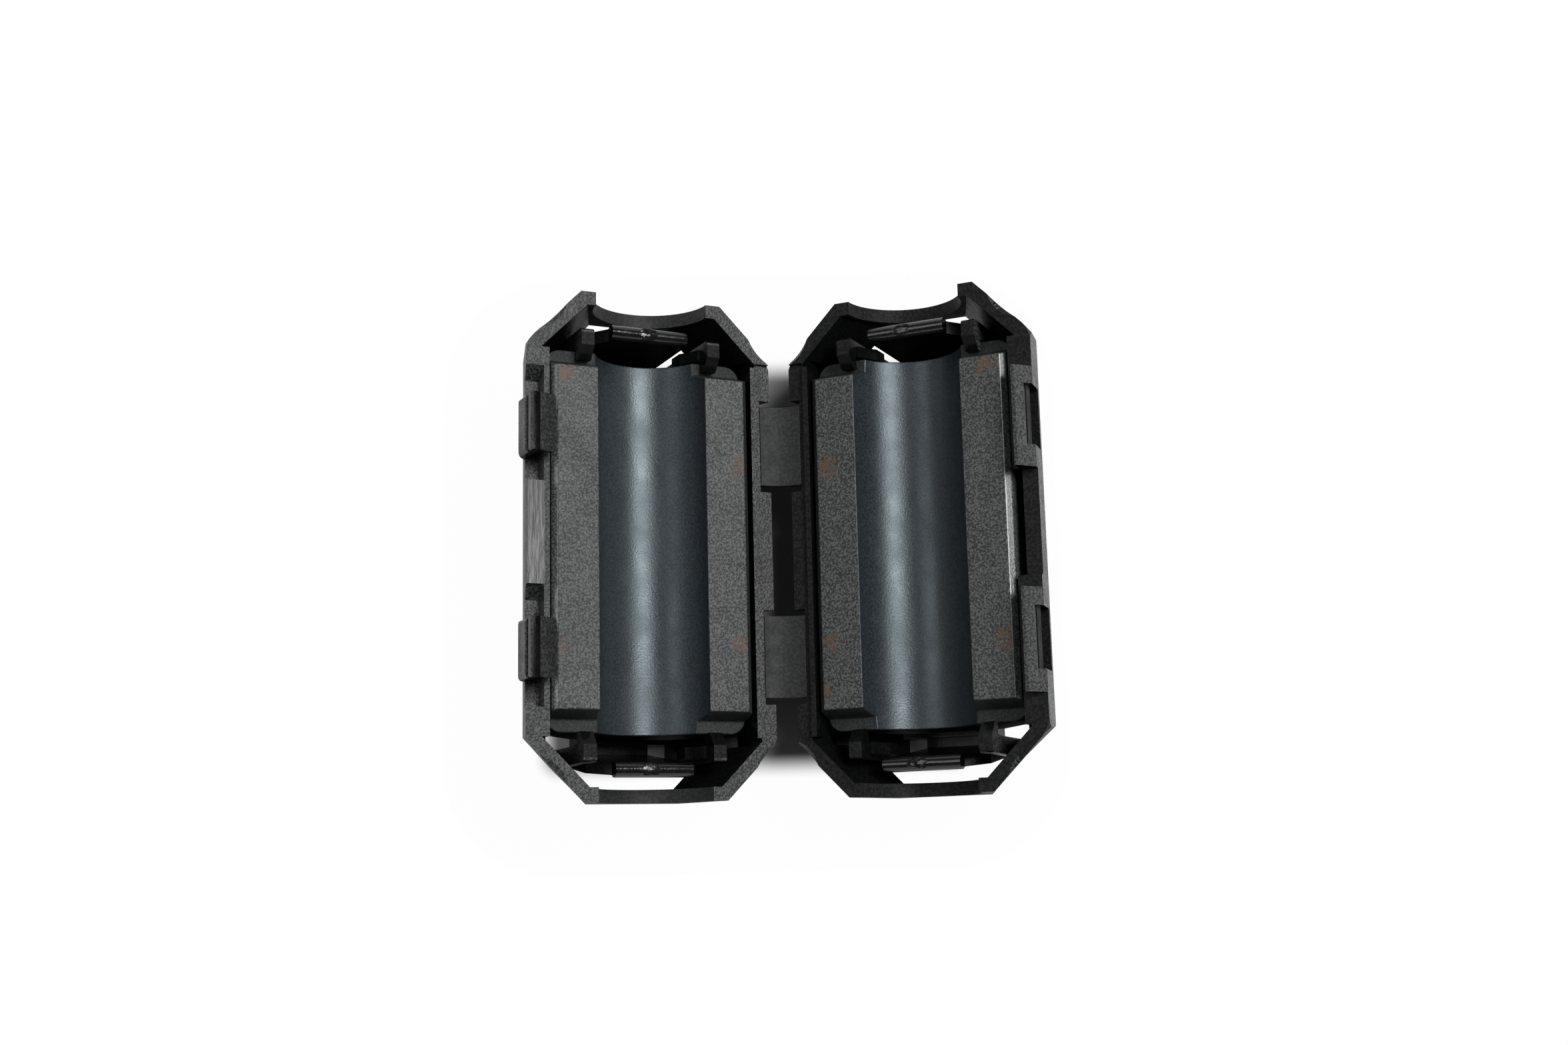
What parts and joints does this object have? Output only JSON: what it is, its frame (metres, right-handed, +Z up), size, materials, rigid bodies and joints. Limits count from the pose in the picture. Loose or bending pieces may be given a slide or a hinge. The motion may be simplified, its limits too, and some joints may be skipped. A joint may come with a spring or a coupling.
{
  "type": "open clip on ferrite bead",
  "caption": "Split ferrite core in a hinged snap-shut plastic case with chamfered ends, lying open; it closes round a cable to damp interference.",
  "frame": {"origin": "middle of the object's box, on the surface that it lies on", "axes": "+Z up, +Y along the cable bore, +X from the hinge towards the half with the lugs"},
  "size_m": [0.0358, 0.0352, 0.0159],
  "materials": {
    "case_plastic": "black moulded nylon, fine sparked texture on the rim",
    "ferrite": "dark grey sintered ferrite, ground parting faces, satin bore"
  },
  "bodies": {
    "hook_half": {"hook_half_shell": "case_plastic", "hook_half_ferrite": "ferrite", "far_hinge_strap": "case_plastic", "near_hinge_strap": "case_plastic"},
    "lug_half": {"lug_half_shell": "case_plastic", "lug_half_ferrite": "ferrite"}
  },
  "joints": [
    {"name": "case_hinge", "type": "hinge", "parent": "hook_half", "child": "lug_half", "pos_m": [0, 0, 0.00598], "axis": [0, -1, 0], "range_deg": [-51, 129], "stiffness_Nm_per_rad": 0.02, "deforming": ["far_hinge_strap", "near_hinge_strap"]}
  ]
}
